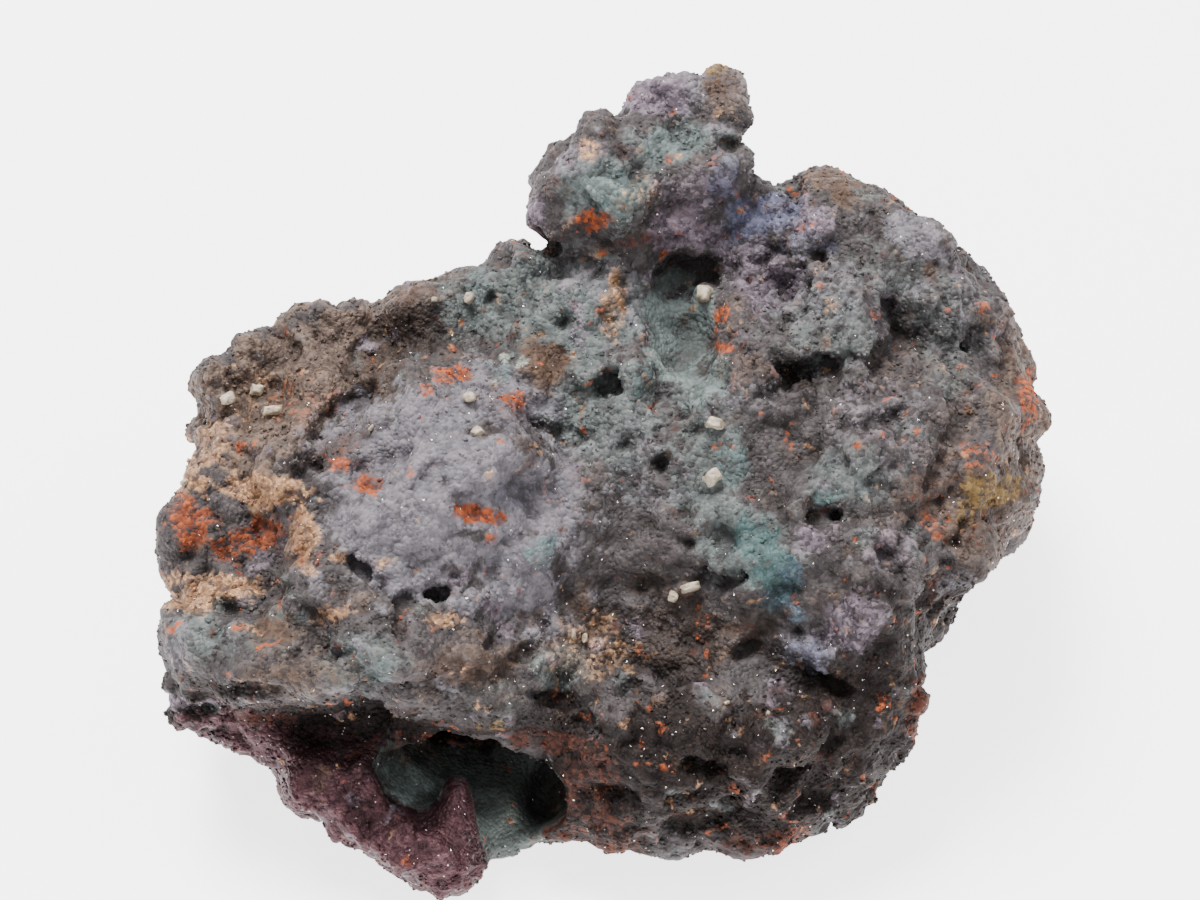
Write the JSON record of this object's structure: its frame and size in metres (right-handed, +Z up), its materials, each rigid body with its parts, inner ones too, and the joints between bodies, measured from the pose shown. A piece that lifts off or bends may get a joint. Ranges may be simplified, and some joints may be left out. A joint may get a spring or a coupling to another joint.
{
  "type": "native copper nugget",
  "caption": "Lumpy nugget of native copper with a crusted, tarnished surface, a bent horn on top, a hollow mouth under a brow and a broad rounded dome.",
  "frame": {"origin": "under the middle of the nugget's box, at the height of the surface that it lies on", "axes": "+Z up as it lies on a table, +X to the right of its broad face, and -Y towards the side that the broad face leans to"},
  "size_m": [0.1022, 0.0832, 0.0587],
  "materials": {
    "tarnished_copper": "rough grainy crust of tarnished copper, brown to blue grey with teal, violet, rust and bare copper stains"
  },
  "bodies": {
    "root": {"copper_nugget": "tarnished_copper"}
  },
  "joints": []
}
